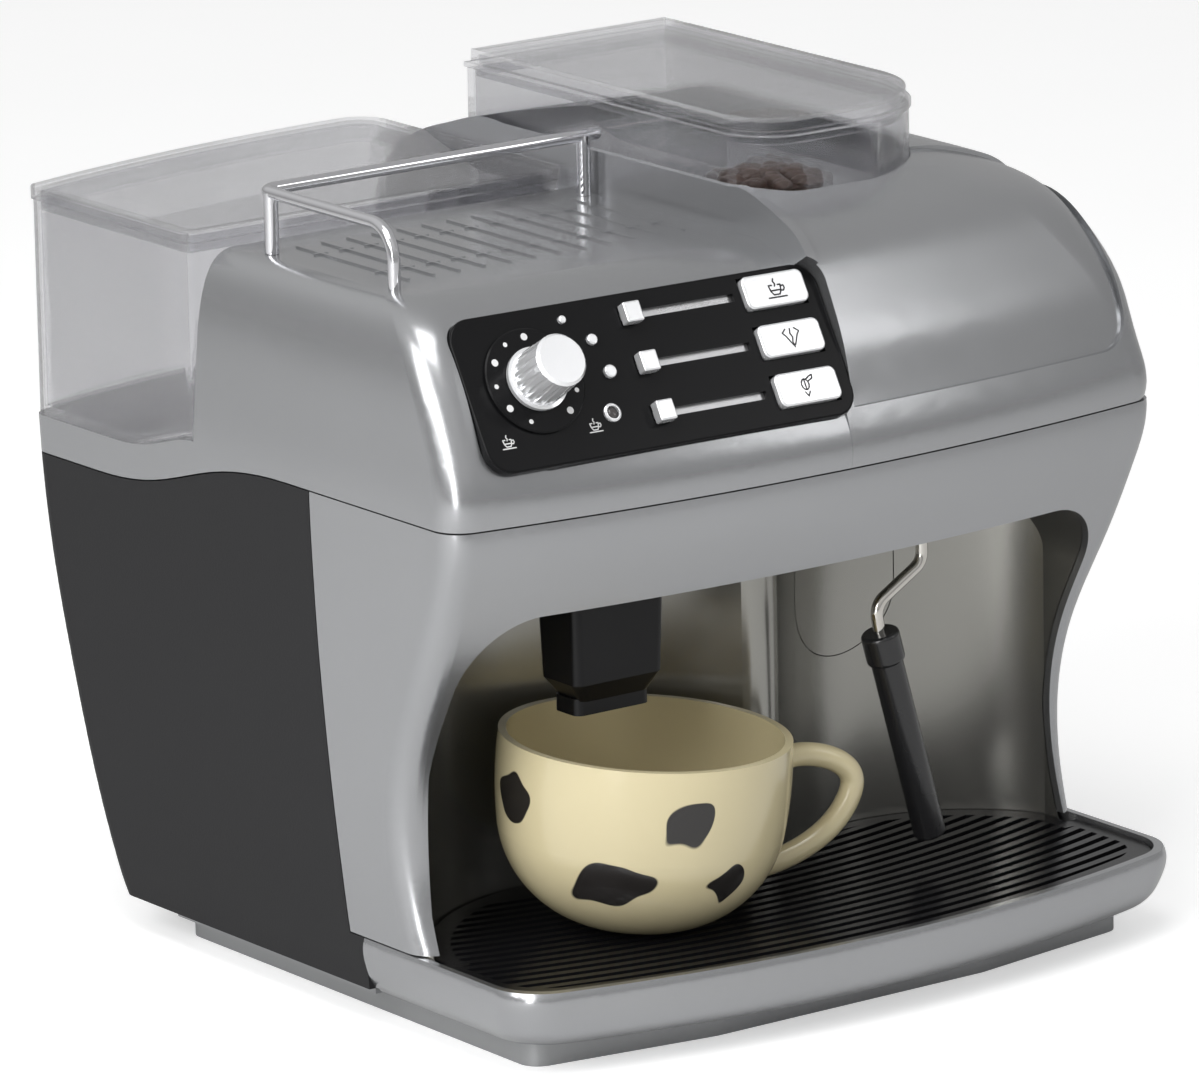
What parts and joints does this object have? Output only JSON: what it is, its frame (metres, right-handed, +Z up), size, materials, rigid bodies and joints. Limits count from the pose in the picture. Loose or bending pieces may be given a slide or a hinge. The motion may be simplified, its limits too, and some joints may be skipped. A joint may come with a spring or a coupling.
{
  "type": "toy coffee maker",
  "caption": "Play espresso machine with lift-off tank, bean hopper, dial, sliders and buttons, swivelling steam wand, drip grille and a loose cup.",
  "frame": {"origin": "on the table plane, on the lower face of the base slab under the middle of the body", "axes": "+X to the right of someone facing the front, +Y to the back, +Z up"},
  "size_m": [0.2342, 0.2451, 0.2302],
  "materials": {
    "silver_paint": "satin silver paint on moulded plastic",
    "silver_trim": "bright silver plating on plastic",
    "black_shell": "fine-grained black plastic",
    "black_gloss": "polished black plastic",
    "liner_grey": "satin grey metallic plastic",
    "base_grey": "dark grey plastic",
    "clear_smoke": "clear smoky plastic",
    "chrome_rail": "polished chrome plating",
    "nickel_tube": "bright nickel tube",
    "cup_cream": "glossy cream plastic with dark patches",
    "bean_brown": "dark brown moulded plastic",
    "lamp_red": "translucent plastic lamp",
    "board_green": "coated circuit board",
    "switch_black": "moulded black plastic",
    "cell_can": "printed metal can",
    "contact_steel": "plated spring steel",
    "screw_steel": "zinc plated steel",
    "speaker_metal": "pressed metal and paper"
  },
  "bodies": {
    "machine": {"hood": "silver_paint", "front_housing": "silver_paint", "tray_body": "silver_paint", "rear_shell": "black_shell", "bay_liner": "liner_grey", "service_cover": "liner_grey", "base_pan": "base_grey", "battery_door": "base_grey", "door_screw": "screw_steel", "battery_cell_1": "cell_can", "battery_cell_2": "cell_can", "battery_cell_3": "cell_can", "contact_plate_left": "contact_steel", "contact_plate_right": "contact_steel", "bean_hopper": "clear_smoke", "bean_heap": "bean_brown", "control_panel": "black_gloss", "circuit_board": "board_green", "tact_switch_cup": "switch_black", "tact_switch_steam": "switch_black", "tact_switch_scoop": "switch_black", "slot_strip_1": "silver_trim", "slot_strip_2": "silver_trim", "slot_strip_3": "silver_trim", "dial_disc": "black_gloss", "rotary_switch": "switch_black", "lamp_bezel": "silver_trim", "lamp_lens": "lamp_red", "dial_studs": "silver_trim", "rail": "chrome_rail", "spout": "black_gloss", "outlet_nub": "black_gloss", "speaker": "speaker_metal"},
    "knob": {"selector_knob": "silver_trim"},
    "button_cup_body": {"button_cup": "silver_trim"},
    "button_steam_body": {"button_steam": "silver_trim"},
    "button_scoop_body": {"button_scoop": "silver_trim"},
    "slider_1_body": {"slider_1": "silver_trim"},
    "slider_2_body": {"slider_2": "silver_trim"},
    "slider_3_body": {"slider_3": "silver_trim"},
    "tank": {"water_tank": "clear_smoke"},
    "tank_cover": {"tank_lid": "clear_smoke"},
    "hopper_cover": {"hopper_lid": "clear_smoke"},
    "grille": {"drip_grille": "black_gloss"},
    "cup_body": {"cup": "cup_cream"},
    "wand": {"steam_pipe": "nickel_tube", "wand_sleeve": "black_shell"}
  },
  "joints": [
    {"name": "knob_turn", "type": "hinge", "parent": "machine", "child": "knob", "pos_m": [-0.08482, -0.07744, 0.17953], "axis": [-0.037, -0.8472, 0.5299], "range_deg": [-150, 150]},
    {"name": "press_cup", "type": "slide", "parent": "machine", "child": "button_cup_body", "axis": [0.037, 0.8472, -0.5299], "range_m": [0, 0.0015], "stiffness_N_per_m": 120},
    {"name": "press_steam", "type": "slide", "parent": "machine", "child": "button_steam_body", "axis": [0.037, 0.8472, -0.5299], "range_m": [0, 0.0015], "stiffness_N_per_m": 120},
    {"name": "press_scoop", "type": "slide", "parent": "machine", "child": "button_scoop_body", "axis": [0.037, 0.8472, -0.5299], "range_m": [0, 0.0015], "stiffness_N_per_m": 120},
    {"name": "slide_1", "type": "slide", "parent": "machine", "child": "slider_1_body", "axis": [0.999, -0.0436, 0], "range_m": [0, 0.031]},
    {"name": "slide_2", "type": "slide", "parent": "machine", "child": "slider_2_body", "axis": [0.999, -0.0436, 0], "range_m": [0, 0.031]},
    {"name": "slide_3", "type": "slide", "parent": "machine", "child": "slider_3_body", "axis": [0.999, -0.0436, 0], "range_m": [0, 0.031]},
    {"name": "tank_lift", "type": "slide", "parent": "machine", "child": "tank", "axis": [0, 0, 1], "range_m": [0, 0.075]},
    {"name": "tank_lid_lift", "type": "slide", "parent": "tank", "child": "tank_cover", "axis": [0, 0, 1], "range_m": [0, 0.04]},
    {"name": "hopper_lid_lift", "type": "slide", "parent": "machine", "child": "hopper_cover", "axis": [0, 0, 1], "range_m": [0, 0.06]},
    {"name": "grille_lift", "type": "slide", "parent": "machine", "child": "grille", "axis": [0, 0, 1], "range_m": [0, 0.005]},
    {"name": "cup_out", "type": "slide", "parent": "grille", "child": "cup_body", "axis": [0, -0.9929, 0.1192], "range_m": [0, 0.13]},
    {"name": "wand_swivel", "type": "hinge", "parent": "machine", "child": "wand", "pos_m": [0.0504, -0.066, 0.1175], "axis": [0, 0, 1], "range_deg": [-40, 40]}
  ]
}
